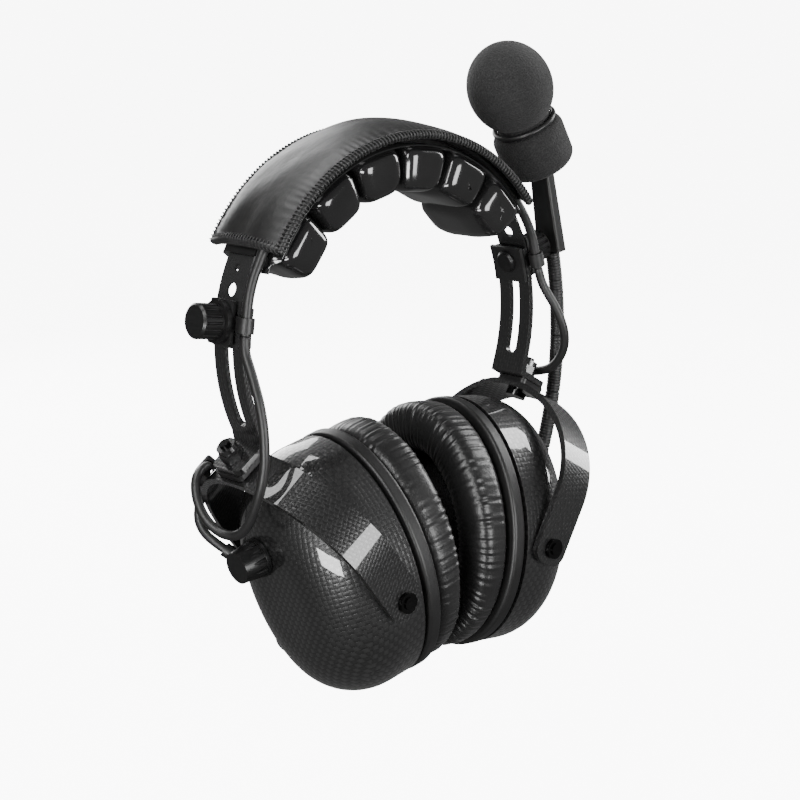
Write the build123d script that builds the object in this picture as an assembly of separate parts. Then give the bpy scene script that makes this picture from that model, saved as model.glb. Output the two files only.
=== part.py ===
from build123d import *
import os
from math import atan2, cos, degrees, radians, sin, sqrt, tan

# Aviation headset, millimetres. +Z is up and -Y is the way the wearer faces.
# +X is the wearer's left, which carries the boom, and -X the right, which carries the volume knob.
# Everything is first laid out about the headband's centre, then moved down by PAD_R so that the
# origin is the underside of the crown pad, where the headset rests on the head.

# headband stack, as radii about the headband's centre
PAD_R = 53.0
ROLL_TOP_R = 71.8
SLIDER_R = (72.4, 74.8)
BAND_R = (75.0, 76.0)
LINER_R = (76.5, 77.3)
COVER_CHANNEL_R = 78.0
COVER_R = 80.2
COVER_HALF_WIDTH = 21.0
COVER_END = 34.0
BAND_END = 5.0
BAND_WIDTH = 15.0

# arms
ARM_WIDTH = 17.0
ARM_TOP = 16.0
ARM_BEND = -23.9
FOOT_TILT = 33.5
FOOT_LENGTH = 16.0
FOOT_THICKNESS = 2.4
SWIVEL_OUT = 9.9
SLOT_WIDTH = 5.6
SLOT_BOTTOM = -17.0
CLAMP_AT = 12.0
BOLT_R = 2.4

# yokes, measured down the swivel axis from the foot's upper face
YOKE_SEAT = 5.0
YOKE_APEX = 4.3
YOKE_THICKNESS = 2.4
YOKE_WIDTH = 16.5
YOKE_FRONT = 48.6
YOKE_REAR = 36.0
YOKE_SHOULDER = 46.0
YOKE_TIP = 73.5
PIVOT_DOWN = 66.6

# cups
CUP_X = 20.5
CUP_Y = -7.5
CUP_Z = -83.5
CUP_TILT = 9.0
CUP_ROLL = 12.0
FLANGE_HALF = (39.5, 50.5)
SHELL_HALF = (38.6, 50.2)
FLANGE_DEPTH = 6.4
SHELL_BASE = 8.4
SHELL_DEPTH = 36.5
SHELL_WALL = 2.4
SHELL_CORNER = 27.0
SEAL_HALF = (38.3, 49.3)
EAR_HALF = (20.0, 30.0)

CABLE_R = 1.85
CLIP_Y = -11.8
CABLE_RING = 75.9
BOOM_R = 3.0
CLEAR = 0.3

out = {}


def keep(name, shape):
    """Store a finished node, moved so that the origin is the crown pad's underside."""
    if isinstance(shape, (list, ShapeList)):
        shape = Compound(children=list(shape))
    out[name] = shape.moved(Location((0, 0, -PAD_R)))


def other_side(shape):
    return mirror(shape, about=Plane.YZ)


def at_angle(phi, r=0.0, y=0.0):
    """A point on the headband's circle, phi degrees above +X."""
    return Vector(r * cos(radians(phi)), y, r * sin(radians(phi)))


def radial_plane(phi, r):
    """Local x is world Y, local y runs up the band and local z points away from its centre."""
    return Plane(origin=at_angle(phi, r), x_dir=(0, 1, 0), z_dir=at_angle(phi, 1))


def ring(face, phi0, phi1):
    """Turn a face drawn with x as radius and y as world Y from phi0 to phi1 about the band."""
    start = face.rotate(Axis.Y, -phi0)
    return revolve(start, axis=Axis((0, 0, 0), (0, -1, 0)), revolution_arc=phi1 - phi0)


def sector(r0, r1, y0, y1, phi0, phi1):
    face = make_face(Polyline((r0, y0), (r1, y0), (r1, y1), (r0, y1), (r0, y0)))
    return ring(face, phi0, phi1)


def rod(plane, radius, z0, z1, x=0.0, y=0.0):
    low = plane.offset(z0)
    return extrude(low * Pos(x, y) * Circle(radius), amount=z1 - z0)


def slab(plane, width, height, z0, z1, x=0.0, y=0.0, corner=0.0):
    low = plane.offset(z0)
    shape = RectangleRounded(width, height, corner) if corner else Rectangle(width, height)
    return extrude(low * Pos(x, y) * shape, amount=z1 - z0)


def oval(plane, half, z0, z1):
    return extrude(plane.offset(z0) * Ellipse(half[0], half[1]), amount=z1 - z0)


def corner_radii(points):
    """The largest arc that each corner's two runs allow."""
    radii = []
    for a, b, c in zip(points, points[1:], points[2:]):
        first, second = Vector(b) - Vector(a), Vector(c) - Vector(b)
        turn = radians(first.get_angle(second))
        radii.append(0.45 * min(first.length, second.length) / tan(turn / 2))
    return radii


def cord(points, radius, name):
    radii = corner_radii(points)
    path = FilletPolyline(*points, radius=radii)
    heading = Vector(points[1]) - Vector(points[0])
    start = Plane(origin=points[0], z_dir=heading)
    tube = sweep(start * Circle(radius), path=path)
    error = tube.volume / (3.14159265 * radius**2 * path.length) - 1
    print(name, "length", round(path.length, 1), "volume error", round(error, 4),
          "radii", [round(r, 1) for r in radii])
    return tube


def flip(points):
    return [(-x, y, z) for x, y, z in points]


# ---------------------------------------------------------------- headband
clamp = radial_plane(CLAMP_AT, 0)
clamp_bolt_hole = rod(clamp, BOLT_R + 0.2, 60, 95)


def band_holes(phi, radius):
    return rod(radial_plane(phi, 0), radius, 70, 80)


def spring_band():
    band = sector(*BAND_R, -BAND_WIDTH / 2, BAND_WIDTH / 2, BAND_END, 180 - BAND_END)
    for phi, radius in ((CLAMP_AT, BOLT_R + 0.2), (21.0, 2.6), (27.3, 1.3)):
        hole = band_holes(phi, radius)
        band = band - hole - other_side(hole)
    return band


keep("spring_band", spring_band())
keep("cover_liner", sector(*LINER_R, -9, 9, COVER_END - 3, 180 - COVER_END + 3))


def head_cover():
    w = COVER_HALF_WIDTH
    outline = Polyline((73.6, -w + 0.8), (74.6, -w), (76.6, -w + 0.5))
    crown = ThreePointArc((76.6, -w + 0.5), (COVER_R, 0), (76.6, w - 0.5))
    rest = Polyline((76.6, w - 0.5), (74.6, w), (73.6, w - 0.8), (73.6, w - 3.4),
                    (COVER_CHANNEL_R - 1.4, w - 4.4), (COVER_CHANNEL_R, w - 6),
                    (COVER_CHANNEL_R, -w + 6), (COVER_CHANNEL_R - 1.4, -w + 4.4),
                    (73.6, -w + 3.4), (73.6, -w + 0.8))
    return ring(make_face(outline + crown + rest), COVER_END, 180 - COVER_END)


keep("head_cover", head_cover())

ROLLS = [40 + 20 * i for i in range(6)]


def roll(phi):
    """One air roll, running front to back under the band."""
    plane = Plane(origin=(0, 20, 0), x_dir=at_angle(phi, 1), z_dir=(0, -1, 0))
    side = Polyline((PAD_R, 8.4), (ROLL_TOP_R, 11.9), (ROLL_TOP_R, -11.9), (PAD_R, -8.4), (PAD_R, 8.4))
    shape = extrude(plane * make_face(side), amount=40)
    centre = at_angle(phi, PAD_R)
    low = shape.edges().filter_by(Axis.Y).sort_by_distance(centre)[0:2]
    shape = fillet(low, 5.5)
    return shape


def head_cushion():
    pad = sector(69.0, ROLL_TOP_R, -19, 19, 31, 149)
    for phi in ROLLS:
        pad = pad + roll(phi)
    for phi in (27, 149):
        pad = pad + sector(70.4, ROLL_TOP_R, -13, 13, phi, phi + 4.2)
    return pad - sector(ROLL_TOP_R, 80, -30, 30, 20, 160)


keep("head_cushion", head_cushion())
keep("cushion_backing", sector(72.0, 74.7, -9.4, 9.4, 41, 139))


# ---------------------------------------------------------------- clamps on the band
def inner_plate():
    plate = sector(70.6, 72.1, -8.5, 8.5, 5.0, 16.8)
    return plate - clamp_bolt_hole


def clamp_bolt():
    shaft = rod(clamp, BOLT_R, 68.9, 88.2)
    head = rod(clamp, 4.6, 68.7, 70.4)
    head = chamfer(head.edges().filter_by(GeomType.CIRCLE).sort_by_distance((0, 0, 0))[0], 0.8)
    return shaft + head


def outer_plate():
    plate = slab(clamp, 13.2, 16.6, 77.2, 78.8, corner=1.0)
    return plate - clamp_bolt_hole


def cable_clip():
    """A strap whose tail is held under the outer plate and whose loop goes round the cable."""
    tail = slab(clamp, 14.2, 5.6, 76.15, 76.95, x=-1.8)
    hub = Plane(origin=at_angle(CLAMP_AT, CABLE_RING, CLIP_Y), x_dir=(0, 1, 0), z_dir=clamp.y_dir)
    loop = extrude(hub * Circle(CABLE_R + 1.2), amount=2.8, both=True)
    loop = loop - extrude(hub * Circle(CABLE_R + 0.35), amount=3, both=True)
    both = tail + loop
    both = both - extrude(hub * Circle(CABLE_R + 0.35), amount=3, both=True)
    return both - clamp_bolt_hole


def clamp_knob():
    body = rod(clamp, 8.0, 79.1, 81.2) + rod(clamp, 6.6, 81.2, 90.4)
    for i in range(16):
        flute = rod(clamp, 0.62, 82.2, 89.2)
        angle = radians(22.5 * i)
        step = clamp.x_dir * (6.75 * cos(angle)) + clamp.y_dir * (6.75 * sin(angle))
        body = body - flute.moved(Location(step))
    rim = body.edges().filter_by(GeomType.CIRCLE).sort_by_distance(at_angle(CLAMP_AT, 120))[0]
    body = chamfer(rim, 0.8)
    return body - rod(clamp, BOLT_R + 0.06, 78, 88.6)


for name, shape in (("clamp_inner_plates", inner_plate()), ("clamp_bolts", clamp_bolt()),
                    ("clamp_outer_plates", outer_plate()), ("cable_clips", cable_clip())):
    keep(name, [shape, other_side(shape)])

pairs = {"clamp_knob": clamp_knob()}

# ---------------------------------------------------------------- arms with their feet
down = Vector(-sin(radians(FOOT_TILT)), 0, -cos(radians(FOOT_TILT)))
outward = Vector(cos(radians(FOOT_TILT)), 0, -sin(radians(FOOT_TILT)))
bend = at_angle(ARM_BEND, (SLIDER_R[0] + SLIDER_R[1]) / 2)
swivel = bend + outward * SWIVEL_OUT
foot = Plane(origin=swivel, x_dir=(0, 1, 0), z_dir=down * -1)


def arm():
    """The slotted slider and its foot, one bent laminate."""
    blade = sector(*SLIDER_R, -ARM_WIDTH / 2, ARM_WIDTH / 2, ARM_BEND + 2.5, ARM_TOP)
    low_in = at_angle(ARM_BEND + 2.5, SLIDER_R[0])
    low_out = at_angle(ARM_BEND + 2.5, SLIDER_R[1])
    elbow = bend + down * FOOT_THICKNESS - outward * 0.6
    tip = bend + outward * FOOT_LENGTH
    profile = [low_in, elbow, tip + down * FOOT_THICKNESS, tip, bend + outward * 2.2, low_out]
    flat = [(p.X, p.Z) for p in profile]
    face = make_face(Plane.XZ * Polyline(*flat, flat[0]))
    tab = extrude(face, amount=ARM_WIDTH / 2, both=True)
    whole = blade + tab
    tip_edges = whole.edges().filter_by(lambda e: abs(e.length - FOOT_THICKNESS) < 0.05)
    tip_edges = tip_edges.sort_by_distance(tip)[0:2]
    whole = fillet(tip_edges, 3.2)
    slot = sector(60, 90, -SLOT_WIDTH / 2, SLOT_WIDTH / 2, SLOT_BOTTOM, CLAMP_AT)
    whole = whole - slot
    for phi in (SLOT_BOTTOM, CLAMP_AT):
        whole = whole - rod(radial_plane(phi, 0), SLOT_WIDTH / 2, 60, 90)
    return whole - rod(foot, 2.6, -10, 10)


pairs["arm"] = arm()
pairs["swivel_screw"] = rod(foot, 2.1, -YOKE_SEAT - 4.6, 8.0) + rod(foot, 4.2, -YOKE_SEAT - 4.6, -YOKE_SEAT - 2.4)


def swivel_nut():
    nut = extrude(foot.offset(0.15) * RegularPolygon(4.6, 6), amount=4.2)
    collar = rod(foot, 3.9, 4.35, 6.6)
    return nut + collar - rod(foot, 2.12, -1, 9)


pairs["swivel_nut"] = swivel_nut()
pairs["swivel_spacer"] = slab(foot, 15.5, 13.5, -YOKE_SEAT + 0.3, -FOOT_THICKNESS - 0.15, corner=2) \
    - rod(foot, 2.12, -10, 5)


# ---------------------------------------------------------------- yokes
def yoke_outline(grow, top):
    """A flatter arch in front and a narrower one behind, with straight legs, in the yoke's plane."""
    front, rear, high = YOKE_FRONT + grow, YOKE_REAR + grow, YOKE_SHOULDER - top
    shoulder = Pos(0, -YOKE_SHOULDER)
    fore = shoulder * Ellipse(front, high) & Pos(-100, 100 - YOKE_SHOULDER) * Rectangle(200, 200)
    aft = shoulder * Ellipse(rear, high) & Pos(100, 100 - YOKE_SHOULDER) * Rectangle(200, 200)
    leg_length = YOKE_TIP - YOKE_SHOULDER
    legs = Pos((rear - front) / 2, -YOKE_SHOULDER - leg_length / 2) * Rectangle(front + rear, leg_length)
    return fore + aft + legs


def yoke():
    plane = Plane(origin=swivel, x_dir=(0, 1, 0), z_dir=outward)
    if plane.y_dir.dot(down) > 0:
        plane = Plane(origin=swivel, x_dir=(0, 1, 0), z_dir=outward * -1)
    half = YOKE_THICKNESS / 2
    arch = extrude(plane * yoke_outline(half, YOKE_APEX), amount=YOKE_WIDTH / 2, both=True)
    inner = yoke_outline(-half, YOKE_APEX + YOKE_THICKNESS + 0.2)
    arch = arch - extrude(plane * inner, amount=YOKE_WIDTH, both=True)
    below = Pos(0, -YOKE_TIP) * Rectangle(200, 0.2)
    arch = arch - extrude(plane * below, amount=YOKE_WIDTH, both=True)
    arch = arch - slab(foot, 40, 40, -YOKE_SEAT, 2)
    tips = [e for e in arch.edges() if abs(e.length - YOKE_THICKNESS) < 0.1
            and (e.center() - swivel).dot(down) > YOKE_TIP - 4]
    arch = fillet(tips, 6.2)
    arch = arch - rod(foot, 4.5, -YOKE_SEAT - 8, -YOKE_SEAT - 2.1) - rod(foot, 2.16, -20, 5)
    return arch - rod(pivot, 2.86, -80, 80)


pivot_point = swivel + down * PIVOT_DOWN
pivot = Plane(origin=(pivot_point.X, 0, pivot_point.Z), x_dir=(1, 0, 0), z_dir=(0, 1, 0))
pairs["yoke"] = yoke()

# ---------------------------------------------------------------- cups
tilt = radians(CUP_TILT)
roll_in_plane = radians(CUP_ROLL)
cup_out = Vector(cos(tilt), 0, -sin(tilt))
cup_up = Vector(sin(tilt), 0, cos(tilt))
across = Vector(0, 1, 0) * cos(roll_in_plane) - cup_up * sin(roll_in_plane)
cup = Plane(origin=(CUP_X, CUP_Y, CUP_Z), x_dir=across, z_dir=cup_out)


def dome(half, base, depth, corner):
    """An oval dome: straight sides that turn into a nearly flat top."""
    block = oval(cup, half, base, base + depth)
    top = block.edges().sort_by_distance(cup.origin + cup_out * 200)[0]
    return fillet(top, corner)


def cup_shell():
    shell = dome(SHELL_HALF, SHELL_BASE, SHELL_DEPTH, SHELL_CORNER)
    front = rod(pivot, 5.2, -(YOKE_FRONT - 1.5), -34)
    rear = rod(pivot, 5.2, 18, YOKE_REAR - 1.5)
    shell = shell + front + rear
    half = (SHELL_HALF[0] - SHELL_WALL, SHELL_HALF[1] - SHELL_WALL)
    shell = shell - dome(half, SHELL_BASE - 0.01, SHELL_DEPTH - SHELL_WALL, SHELL_CORNER - SHELL_WALL)
    shell = shell - rod(pivot, 2.05, -80, 80)
    return shell - rod(gland_plane, 3.45, -6, 10)


def flange_ring():
    plate = oval(cup, FLANGE_HALF, 0.3, FLANGE_DEPTH)
    plate = fillet(plate.edges(), 1.4)
    neck = oval(cup, (FLANGE_HALF[0] - 3.2, FLANGE_HALF[1] - 3.2), FLANGE_DEPTH - 0.5, SHELL_BASE - 0.15)
    hole = oval(cup, (EAR_HALF[0] + 8, EAR_HALF[1] + 8), 2.6, 20)
    step = oval(cup, (EAR_HALF[0] + 2, EAR_HALF[1] + 2), -1, 3)
    return plate + neck - hole - step


def ear_seal():
    body = oval(cup, SEAL_HALF, -26, 0)
    face = Plane(origin=cup.origin - cup_out * SEAL_MIDDLE, x_dir=across,
                 z_dir=cup_out.rotate(Axis.Y, -SEAL_WEDGE))
    body = body - extrude(face * Rectangle(200, 200), amount=-60)
    rim = body.edges().sort_by_distance(cup.origin - cup_out * 80)[0]
    body = fillet(rim, 6.5)
    hole = oval(cup, EAR_HALF, -40, 5)
    body = body - hole
    return body


SEAL_MIDDLE = 15.4
SEAL_WEDGE = 5.2


def baffle():
    plate = oval(cup, (EAR_HALF[0] + 7.6, EAR_HALF[1] + 7.6), 3.2, 4.8)
    plate = plate - rod(cup, 16.2, 0, 10)
    for i in range(6):
        angle = radians(60 * i + 30)
        plate = plate - rod(cup, 1.5, 0, 10, 22 * cos(angle) * 0.95, 30 * sin(angle) * 0.9)
    return plate


def speaker():
    frame = rod(cup, 19.6, 5.0, 6.6) + rod(cup, 15.9, 3.4, 5.0) + rod(cup, 14, 6.6, 11) + rod(cup, 10, 11, 14.5)
    return frame



GLAND_AT = cup.origin + cup.x_dir * 22 + cup.y_dir * 12 + cup.z_dir * 42.6
GLAND_WAY = Vector(0.45, 0.70, 0.55).normalized()
gland_plane = Plane(origin=GLAND_AT, x_dir=(0.55, 0, -0.45), z_dir=GLAND_WAY)


def gland_body():
    return rod(gland_plane, 3.4, -5, 4.2)


def cup_gland():
    sleeve = gland_body() + rod(gland_plane, 2.9, 4.2, 8.6)
    return sleeve - rod(gland_plane, CABLE_R + 0.05, 7.8, 10)


KNOB_AT = (5.4, 15.4)
BOOM_AT = (7.6, 5.1)
SOCKET_Z = 25.5
socket_way = (cup.x_dir * 0.75 - cup.y_dir * 0.66).normalized()
socket = Plane(origin=cup.origin + cup.z_dir * SOCKET_Z, x_dir=cup.z_dir, z_dir=socket_way)

shell = cup_shell()
left_shell = shell + (rod(cup, 13.2, 42.8, 45.4, *BOOM_AT))
left_shell = left_shell - rod(cup, 2.3, 20, 60, *BOOM_AT) - rod(gland_plane, 3.45, -6, 10)
right_shell = shell - rod(cup, 2.4, 30, 60, *KNOB_AT)
right_shell = right_shell - rod(socket, 6.1, 30, 60)
keep("left_cup_shell", left_shell)
keep("right_cup_shell", other_side(right_shell))
pairs["flange_ring"] = flange_ring()
pairs["ear_seal"] = ear_seal()
pairs["speaker_baffle"] = baffle()
pairs["speaker"] = speaker()
pairs["cup_gland"] = cup_gland()
foam = dome((SHELL_HALF[0] - 7, SHELL_HALF[1] - 7), 15.2, 14.0, 12.0)
foam = foam - rod(pivot, 5.8, -80, -25) - rod(pivot, 5.8, 12, 60)
keep("left_acoustic_foam", foam)
keep("right_acoustic_foam", other_side(foam - rod(socket, 6.8, 23, 60)))
pairs["ear_foam"] = oval(cup, (EAR_HALF[0] - 0.4, EAR_HALF[1] - 0.4), -2.2, 2.3)


def pivot_screw(sign, face):
    """A cap-headed screw through the yoke's leg into the cup's boss."""
    start = sign * (face - 9)
    shaft = rod(pivot, 2.0, start, sign * (face - 1.7)) if sign > 0 else rod(pivot, 2.0, -(face - 1.7), start)
    bush_low, bush_high = face - 1.45, face + YOKE_THICKNESS / 2 + 0.2
    cap_high = bush_high + 2.3
    if sign > 0:
        bush = rod(pivot, 2.8, bush_low, bush_high)
        cap = rod(pivot, 4.0, bush_high, cap_high - 0.7) + rod(pivot, 2.4, cap_high - 0.7, cap_high)
    else:
        bush = rod(pivot, 2.8, -bush_high, -bush_low)
        cap = rod(pivot, 4.0, -cap_high + 0.7, -bush_high) + rod(pivot, 2.4, -cap_high, -cap_high + 0.7)
    joined = shaft + rod(pivot, 2.0, min(start, sign * bush_high), max(start, sign * bush_high)) + bush + cap
    return joined


pairs["pivots"] = [pivot_screw(-1, YOKE_FRONT), pivot_screw(1, YOKE_REAR)]

# ---------------------------------------------------------------- volume control and socket, right cup
def volume_knob():
    skirt = rod(cup, 7.9, 45.2, 46.3, *KNOB_AT)
    grip_plane = cup.offset(46.3)
    grip = loft([grip_plane * Pos(*KNOB_AT) * Circle(7.5), grip_plane.offset(9.6) * Pos(*KNOB_AT) * Circle(6.3)])
    knob = skirt + grip
    for i in range(12):
        angle = radians(30 * i)
        x, y = KNOB_AT[0] + 8.0 * cos(angle), KNOB_AT[1] + 8.0 * sin(angle)
        knob = knob - rod(cup, 1.25, 46.8, 60, x, y)
    return knob + rod(cup, 1.5, 37, 45.3, *KNOB_AT)


def volume_pot():
    body = rod(cup, 8.2, 30.5, 38.4, *KNOB_AT) + rod(cup, 2.2, 38.4, 44.6, *KNOB_AT)
    return body - rod(cup, 1.56, 36.5, 60, *KNOB_AT)


def comms_socket():
    housing = rod(socket, 6.0, 25, 43.6) + rod(socket, 7.4, 43.6, 45)
    return housing - rod(socket, SOCKET_R, 31, 60)


SOCKET_R = 3.2
keep("volume_knob", other_side(volume_knob()))
keep("volume_pot", other_side(volume_pot()))
keep("comms_socket", other_side(comms_socket()))

# ---------------------------------------------------------------- boom and microphone, left cup
BOOM_Y = 1.0
BOOM_ENDS = ((81.5, -80.0), (95.6, -38.0), (96.6, 14.0))
BOOM_PARTS = 4
BOOM_GAP = 0.45


def circle_through(a, b, c):
    """Centre and radius of the circle through three points, each (x, z)."""
    d = 2 * (a[0] * (b[1] - c[1]) + b[0] * (c[1] - a[1]) + c[0] * (a[1] - b[1]))
    sa, sb, sc = (p[0] ** 2 + p[1] ** 2 for p in (a, b, c))
    x = (sa * (b[1] - c[1]) + sb * (c[1] - a[1]) + sc * (a[1] - b[1])) / d
    z = (sa * (c[0] - b[0]) + sb * (a[0] - c[0]) + sc * (b[0] - a[0])) / d
    return x, z, sqrt((a[0] - x) ** 2 + (a[1] - z) ** 2)


boom_x, boom_z, boom_bend = circle_through(*BOOM_ENDS)
boom_angles = [degrees(atan2(z - boom_z, x - boom_x)) for x, z in (BOOM_ENDS[0], BOOM_ENDS[2])]


def boom_point(t):
    a = radians(boom_angles[0] + (boom_angles[1] - boom_angles[0]) * t)
    return Vector(boom_x + boom_bend * cos(a), BOOM_Y, boom_z + boom_bend * sin(a))


def boom_heading(t):
    a = radians(boom_angles[0] + (boom_angles[1] - boom_angles[0]) * t)
    return Vector(-sin(a), 0, cos(a))


def boom_piece(t0, t1, radius=BOOM_R):
    start = Plane(origin=boom_point(t0), z_dir=boom_heading(t0))
    axis = Axis((boom_x, BOOM_Y, boom_z), (0, -1, 0))
    return revolve(start * Circle(radius), axis=axis,
                   revolution_arc=(boom_angles[1] - boom_angles[0]) * (t1 - t0))


boom_length = boom_bend * radians(boom_angles[1] - boom_angles[0])
margin = BOOM_GAP / boom_length
for i in range(BOOM_PARTS):
    keep(f"boom_flex_{i + 1}", boom_piece(i / BOOM_PARTS + margin, (i + 1) / BOOM_PARTS - margin))
    if i:
        p = boom_point(i / BOOM_PARTS)
        print("boom joint", i, round(p.X, 3), BOOM_Y, round(p.Z - PAD_R, 3))


def boom_base():
    hub = rod(cup, 12.6, 45.8, 50.6, *BOOM_AT) + rod(cup, 8.2, 50.6, 64.5, *BOOM_AT)
    collar = Plane(origin=boom_point(0), z_dir=boom_heading(0))
    hub = hub + rod(collar, 4.4, -10, 0) - rod(cup, 2.56, 40, 70, *BOOM_AT)
    return hub


def boom_screw():
    shaft = rod(cup, 2.2, 36, 45.4, *BOOM_AT) + rod(cup, 2.5, 45.4, 64.8, *BOOM_AT)
    head = rod(cup, 5.4, 64.8, 67.4, *BOOM_AT)
    return shaft + chamfer(head.edges().filter_by(GeomType.CIRCLE), 0.6)


keep("boom_base", boom_base())
keep("boom_screw", boom_screw())

MIC_FOOT = Vector(96.2, BOOM_Y, 14.8)
MIC_HEAD = Vector(91.6, BOOM_Y, 52.0)
MUFF_CENTRE = Vector(75.6, BOOM_Y, 84.7)
MUFF_WAY = Vector(-0.43, 0, 0.903)
muff = Plane(origin=MUFF_CENTRE, x_dir=(0, 1, 0), z_dir=MUFF_WAY)


def mic_body():
    way = (MIC_HEAD - MIC_FOOT).normalized()
    low = Plane(origin=MIC_FOOT, x_dir=(0, 1, 0), z_dir=way)
    length = (MIC_HEAD - MIC_FOOT).length
    return loft([low * RectangleRounded(13, 5.2, 1.2),
                 low.offset(length) * RectangleRounded(10, 4.8, 1.2)])


def mic_muff():
    """One piece of foam: a ball, a waist for the ring and a collar, all turned about its own axis."""
    bore, collar, waist, ball, tall = 6.2, 15.0, 11.4, 17.5, 19.2
    waist_z = -tall * sqrt(1 - (waist / ball) ** 2)
    outside = Polyline((0, 4), (bore, 4), (bore, -38), (collar - 4.5, -38))
    low = ThreePointArc((collar - 4.5, -38), (collar - 1.3, -36.7), (collar, -33.5))
    side = Line((collar, -33.5), (collar, -22))
    high = ThreePointArc((collar, -22), (collar - 0.9, -19.6), (waist + 1, -18.5))
    neck = Polyline((waist + 1, -18.5), (waist, -17.6), (waist, waist_z))
    steps = [degrees(atan2(waist_z / tall, waist / ball)) * (1 - i / 6) for i in range(6)]
    steps = steps + [15 * i for i in range(7)]
    curve = Spline(*[(ball * cos(radians(s)), tall * sin(radians(s))) for s in steps])
    face = make_face(outside + low + side + high + neck + curve + Line((0, tall), (0, 4)))
    return muff * revolve(Plane.XZ * face, axis=Axis.Z)


keep("mic_body", mic_body())
keep("mic_capsule", rod(muff, 5.6, -34, 2))
keep("mic_muff", mic_muff())
keep("mic_ring", muff * Pos(0, 0, -16.6) * Torus(12.7, 1.0))

# ---------------------------------------------------------------- cable
YOKE_HIGH = YOKE_SHOULDER - YOKE_APEX


def yoke_back(y):
    """A plane on the outer face of the yoke's rear half: x outward, y along the leg, z off it."""
    across_leg = YOKE_REAR + YOKE_THICKNESS / 2
    level = sqrt(1 - (y / across_leg) ** 2)
    slope = YOKE_HIGH * y / (across_leg**2 * level)
    point = swivel + down * (YOKE_SHOULDER - YOKE_HIGH * level) + Vector(0, y, 0)
    normal = (Vector(0, slope, 0) - down).normalized()
    return Plane(origin=point, x_dir=outward, z_dir=normal)


def cable_guide(y, x, length):
    plane = yoke_back(y)
    block = slab(plane, 7.6, length, 0.1, 5.9, x=x)
    block = fillet(block.edges().group_by(Axis(plane.origin, plane.z_dir))[-1], 1.0)
    bore = Plane(origin=plane.from_local_coords((x, 0, 2.75)), z_dir=plane.y_dir)
    return block - rod(bore, CABLE_R + 0.6, -10, 10)


def on_back(y, x):
    p = yoke_back(y).from_local_coords((x, 0, 2.75))
    return (p.X, p.Y, p.Z)


def in_yoke(x, y, d):
    p = swivel + outward * x + down * d
    return (p.X, y, p.Z)


GUIDE_X = 3.0
pairs["cable_guides"] = [cable_guide(20, GUIDE_X, 6.0), cable_guide(29, 4.2, 3.6)]
guide_end = on_back(20, GUIDE_X)
gland_mouth = GLAND_AT + GLAND_WAY * 7.9

CLIP_END = at_angle(9.3, CABLE_RING, CLIP_Y)
CROWN_RUN = [(9.3, CABLE_RING), (22, 77.2), (37, 76.5), (54, 76.6), (72, 76.6), (90, 76.6)]
crown_half = [at_angle(phi, r, CLIP_Y) for phi, r in CROWN_RUN]
crown_points = [(p.X, p.Y, p.Z) for p in crown_half]
crown_points = crown_points + [(-x, y, z) for x, y, z in crown_points[-2::-1]]
crown_end = (crown_half[0] - crown_half[1]).normalized()
loop_start = CLIP_END + crown_end * 0.4
along_yoke = yoke_back(20).y_dir if yoke_back(20).y_dir.Y > 0 else yoke_back(20).y_dir * -1
cup_start = Vector(guide_end) + along_yoke * 0.4
LEFT_LOOP = [(78.0, -13.6, 1.0), (80.1, -15.3, -3.8), (82.7, -17.0, -11.6), (84.6, -16.7, -19.7),
             (85.1, -13.2, -27.3), (84.6, -7.2, -33.1), (83.3, 0.6, -35.2), (81.0, 8.4, -35.3)]
RIGHT_LOOP = [(76.2, -15.0, 0.4), (76.4, -17.2, -5.0), (76.7, -19.6, -10.8), (77.1, -21.5, -18.7),
              (77.8, -22.4, -26.6), (78.5, -22.3, -34.7), (80.2, -21.2, -42.5), (81.2, -18.3, -50.1),
              (82.0, -14.3, -57.3), (83.2, -8.6, -62.4), (85.8, -1.5, -62.1), (87.6, 4.8, -57.3),
              (87.9, 9.1, -50.2), (85.3, 12.5, -43.6), (79.6, 15.8, -41.6)]
CUP_RUN = [(cup_start.X, cup_start.Y, cup_start.Z), on_back(24.6, 3.6), on_back(29, 4.2), (67.8, 34.3, -57.6),
           (68.8, 35.7, -62.9), (70.7, 34.3, -67.9), (71.1, 30.8, -72.3),
           (gland_mouth.X + 2.4, gland_mouth.Y + 3.75, gland_mouth.Z + 2.95),
           (gland_mouth.X, gland_mouth.Y, gland_mouth.Z)]


def close_loop(points):
    """Run a loop from just below its clip to the guide on the yoke, straight through at both ends."""
    first = loop_start + crown_end * 5
    last = Vector(guide_end) - along_yoke * 5
    ends = [(p.X, p.Y, p.Z) for p in (loop_start, first, last)]
    return ends[:2] + points + [ends[2], guide_end]


keep("crown_cable", cord(crown_points, CABLE_R, "crown_cable"))
keep("left_cable_loop", cord(close_loop(LEFT_LOOP), CABLE_R, "left_cable_loop"))
keep("right_cable_loop", other_side(cord(close_loop(RIGHT_LOOP), CABLE_R, "right_cable_loop")))
pairs["cup_cable"] = cord(CUP_RUN, CABLE_R, "cup_cable")

for name, shape in pairs.items():
    pieces = shape if isinstance(shape, list) else [shape]
    mirrored = [other_side(piece) for piece in pieces]
    keep("left_" + name, pieces if len(pieces) > 1 else pieces[0])
    keep("right_" + name, mirrored if len(mirrored) > 1 else mirrored[0])

if __name__ == "__main__":
    os.makedirs("parts", exist_ok=True)
    for name, shape in out.items():
        bad = "" if shape.is_valid and shape.volume > 0 else "  NOT VALID"
        print(name, round(shape.volume, 1), len(shape.solids()), bad)
        export_step(shape, "parts/" + name + ".step")
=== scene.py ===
import math

import bmesh
import bpy
import numpy as np
from mathutils import Matrix, Vector


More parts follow.
